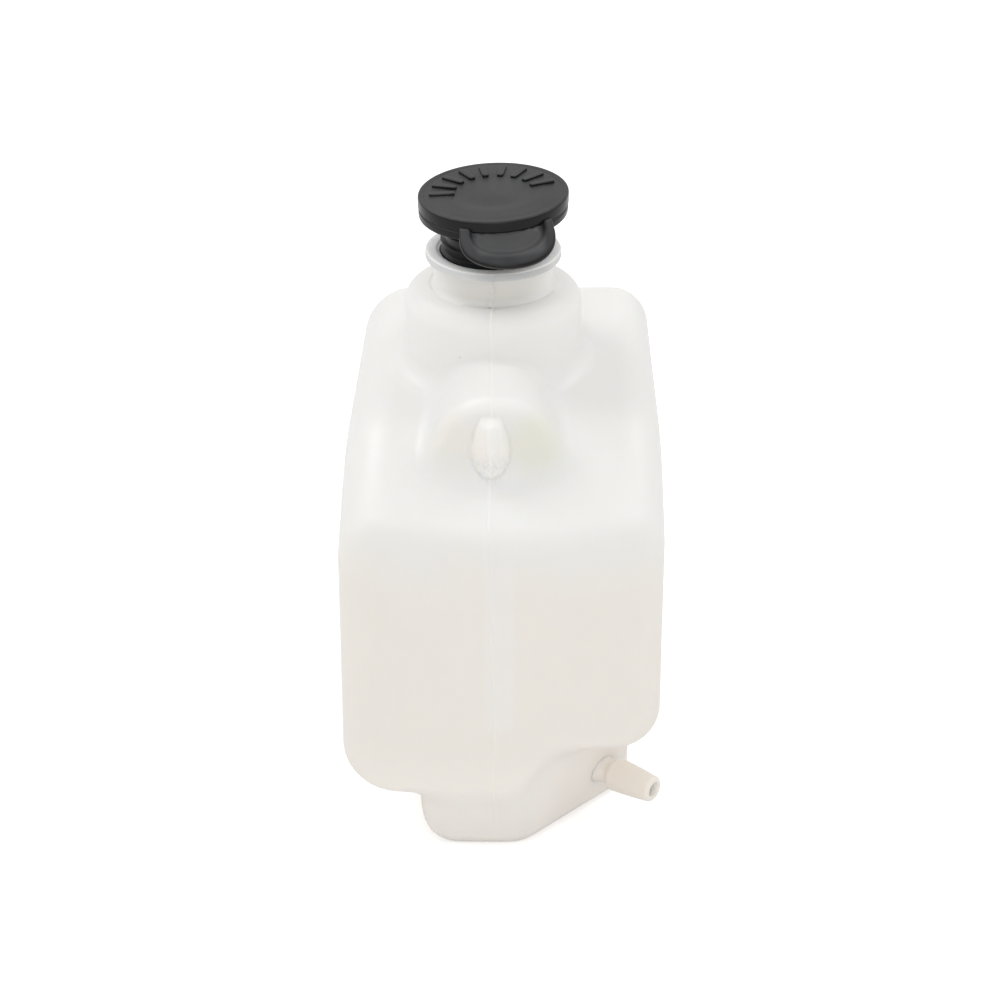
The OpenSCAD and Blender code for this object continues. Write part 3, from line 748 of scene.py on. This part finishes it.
def barSkins():
    # low bars in a fan: superellipse rings that shrink a little towards a flat top
    c, skins = cap, []
    a = np.linspace(0, 2 * np.pi, 33)[:-1]
    square = np.stack([np.sign(v) * abs(v) ** c["barSquare"] for v in (np.cos(a), np.sin(a))])
    shrink = [(1.04, -0.5), (1.04, 0), (1.0, 0.6), (0.95, 0.93), (0.86, 1), (0.4, 1)]
    size, rise = np.array(shrink).T[:, :, None]
    half, middle = (c["barTo"] - c["barFrom"]) / 2, (c["barTo"] + c["barFrom"]) / 2
    for turn in np.linspace(-c["barSpan"] / 2, c["barSpan"] / 2, c["bars"]) + c["barTurn"]:
        out = middle + (half - c["barWidth"] / 2 * (1 - size)) * square[0]
        side = c["barWidth"] / 2 * size * square[1]
        z = c["z"] + c["thick"] + rise * c["barHeight"] + 0 * out
        x, y = out * cosd(turn) - side * sind(turn), out * sind(turn) + side * cosd(turn)
        skins.append(skin(tilted(np.stack([x, y, z], -1))))
    return skins


def tabOutline(count):
    # closed outline seen from above, counterclockwise: left side, oval tip, right side, hidden root
    t = tab
    a = np.radians(np.linspace(180, 360, 61))
    tip = np.stack([t["half"] * np.cos(a), -t["widest"] + (t["reach"] - t["widest"]) * np.sin(a)], 1)
    root = t["half"] - t["taper"]
    left = [(-root, t["rootY"]), (-root - 0.4, t["hipY"])]
    right = [(root + 0.4, t["hipY"]), (root, t["rootY"]), (-root, t["rootY"])]
    path = np.vstack([left, tip, right])
    length = np.concatenate([[0], np.cumsum(np.linalg.norm(np.diff(path, axis=0), axis=1))])
    s = np.arange(count) / count * length[-1]
    return np.stack([np.interp(s, length, path[:, k]) for k in (0, 1)], 1)


def tabSkin():
    # pad bent down a cone round the cap's axis: inset rings of the outline, raised border, sunk panel
    t = tab
    outline = tabOutline(t["around"])
    for smoothing in range(4):
        outline = (np.roll(outline, 1, 0) + 2 * outline + np.roll(outline, -1, 0)) / 4
    ahead = np.roll(outline, -1, 0) - np.roll(outline, 1, 0)
    inward = np.stack([-ahead[:, 1], ahead[:, 0]], 1) / np.linalg.norm(ahead, axis=1)[:, None]
    centre = np.array([0, t["middleY"]])
    insets = np.array([0, 0.1, 0.3, 0.6, 0.95, 1.4, 2.0, 2.7, 3.3, 3.5, 3.7, 3.9, 4.1, 4.3, 4.6, 5.2, 6.0])
    edge, low = t["edge"], t["lowEdge"]
    crest = -edge + np.sqrt(edge ** 2 - np.maximum(edge - insets, 0) ** 2)
    topH = crest - t["panelDepth"] * ease((insets - t["panelFrom"]) / (t["border"] - t["panelFrom"]))
    lowInsets = np.array([1.0, 0.7, 0.4, 0.15, 0.0])
    lowH = -t["thick"] + low - np.sqrt(low ** 2 - (low - lowInsets) ** 2)
    inner = outline + inward * insets[-1]
    under = [(centre + share * (inner - centre), -t["thick"]) for share in (0.25, 0.6)]
    sides = [(outline + inward * 3.0, -t["thick"])]
    sides += [(outline + inward * inset, h) for inset, h in zip(lowInsets, lowH)]
    sides += [(outline + inward * inset, h) for inset, h in zip(insets, topH)]
    panel = [(centre + share * (inner - centre), topH[-1]) for share in (0.75, 0.5, 0.25)]
    xy, h = (np.array(column) for column in zip(*(under + sides + panel)))
    h = h[:, None]
    r = np.linalg.norm(xy, axis=2)
    bend = ease((r - cap["r"] + 1) / 3)
    drop = np.maximum(r - cap["r"] - t["shoulder"], 0) * math.tan(math.radians(t["angle"]))
    z = cap["z"] + t["rootZ"] - drop + h * (1 - bend + bend * cosd(t["angle"]))
    xy = xy * (1 + bend * h * sind(t["angle"]) / r)[..., None]
    x = xy[..., 0] * cosd(t["turn"]) - xy[..., 1] * sind(t["turn"])
    y = xy[..., 0] * sind(t["turn"]) + xy[..., 1] * cosd(t["turn"])
    return skin(tilted(np.stack([x, y, z], -1)))


newPiece("plugCap", [capSkin(), tabSkin()] + barSkins(), capRubber, "cap", "filler_cap")
print("cap made")

# the stage, in metres
studio = {
    "camera": (0.00242, -0.93333, 0.59175), "pitch": 28, "lens": 107.89, "sensor": 36, "farthest": 20,
    "world": 0.79, "worldColour": (1.0, 0.995, 0.985, 1), "white": (1, 1, 1, 1), "aim": (0, 0, 0.11),
    "floorHalf": 4, "floorColour": (0.88, 0.88, 0.88, 1), "floorLift": 0.42,
    "lamps": {"keyLeft": ((-0.85, 0.3, 1.3), 0.65, 4.7), "keyRight": ((0.85, 0.35, 1.3), 0.65, 3.1),
              "fill": ((0.1, -1.2, 0.6), 1.0, 2.2)},
}


def floorMaterial():
    # diffuse floor that the camera sees lifted to the plain white of the photograph's background
    material, tree, shader = newMaterial("paleFloor")
    tree.nodes.remove(shader)
    rays = tree.nodes.new("ShaderNodeLightPath")
    lift = times(tree, rays.outputs["Is Camera Ray"], studio["floorLift"])
    diffuse = addNode(tree, "ShaderNodeBsdfDiffuse", {"Color": studio["floorColour"]})
    glow = addNode(tree, "ShaderNodeEmission", {"Color": studio["white"], "Strength": lift})
    both = tree.nodes.new("ShaderNodeAddShader")
    tree.links.new(diffuse.outputs[0], both.inputs[0])
    tree.links.new(glow.outputs[0], both.inputs[1])
    tree.links.new(both.outputs[0], tree.nodes["Material Output"].inputs["Surface"])
    return material


def makeFloor():
    # flat grid, z = 0 everywhere
    line = np.linspace(-studio["floorHalf"], studio["floorHalf"], 5)
    x, y = np.meshgrid(line, line)
    grid = np.arange(25).reshape(5, 5)
    faces = np.stack([grid[:-1, :-1], grid[:-1, 1:], grid[1:, 1:], grid[1:, :-1]], -1).reshape(-1, 4)
    mesh = bpy.data.meshes.new("floor")
    mesh.from_pydata(np.stack([x, y, 0 * x], -1).reshape(-1, 3), [], faces.tolist())
    mesh.materials.append(floorMaterial())
    floor = bpy.data.objects.new("floor", mesh)
    bpy.context.scene.collection.objects.link(floor)


def makeWorld():
    # soft warm-white surroundings, plain white where the camera sees them
    world = bpy.data.worlds.new("softWhite")
    world.use_nodes = True
    tree = world.node_tree
    rays = tree.nodes.new("ShaderNodeLightPath")
    seen = plus(tree, rays.outputs["Is Camera Ray"], rays.outputs["Is Transmission Ray"])
    strength = addNode(tree, "ShaderNodeMapRange", {"Value": seen, "To Min": studio["world"],
                       "To Max": 1.0})
    back = tree.nodes["Background"]
    tree.links.new(mixColour(tree, seen, studio["worldColour"], studio["white"]), back.inputs["Color"])
    tree.links.new(strength.outputs["Result"], back.inputs["Strength"])
    bpy.context.scene.world = world


def makeLight(name, place, size, power):
    # round lamp turned towards the aim: tipped from straight down, then swung round Z
    data = bpy.data.lights.new(name, "AREA")
    data.shape, data.size, data.energy = "DISK", size, power
    lamp = bpy.data.objects.new(name, data)
    lamp.location = place
    x, y, z = np.array(studio["aim"]) - np.array(place)
    lamp.rotation_euler = (math.atan2(math.hypot(x, y), -z), 0, math.atan2(-x, y))
    bpy.context.scene.collection.objects.link(lamp)


def makeCamera():
    data = bpy.data.cameras.new("camera")
    data.lens, data.sensor_width, data.clip_end = studio["lens"], studio["sensor"], studio["farthest"]
    camera = bpy.data.objects.new("camera", data)
    camera.location = studio["camera"]
    camera.rotation_euler = (math.radians(90 - studio["pitch"]), 0, 0)
    bpy.context.scene.collection.objects.link(camera)
    bpy.context.scene.camera = camera


makeFloor()
makeWorld()
for lampName, (place, size, power) in studio["lamps"].items():
    makeLight(lampName, place, size, power)
makeCamera()
bpy.context.scene.view_settings.view_transform = "Standard"
print("stage made")
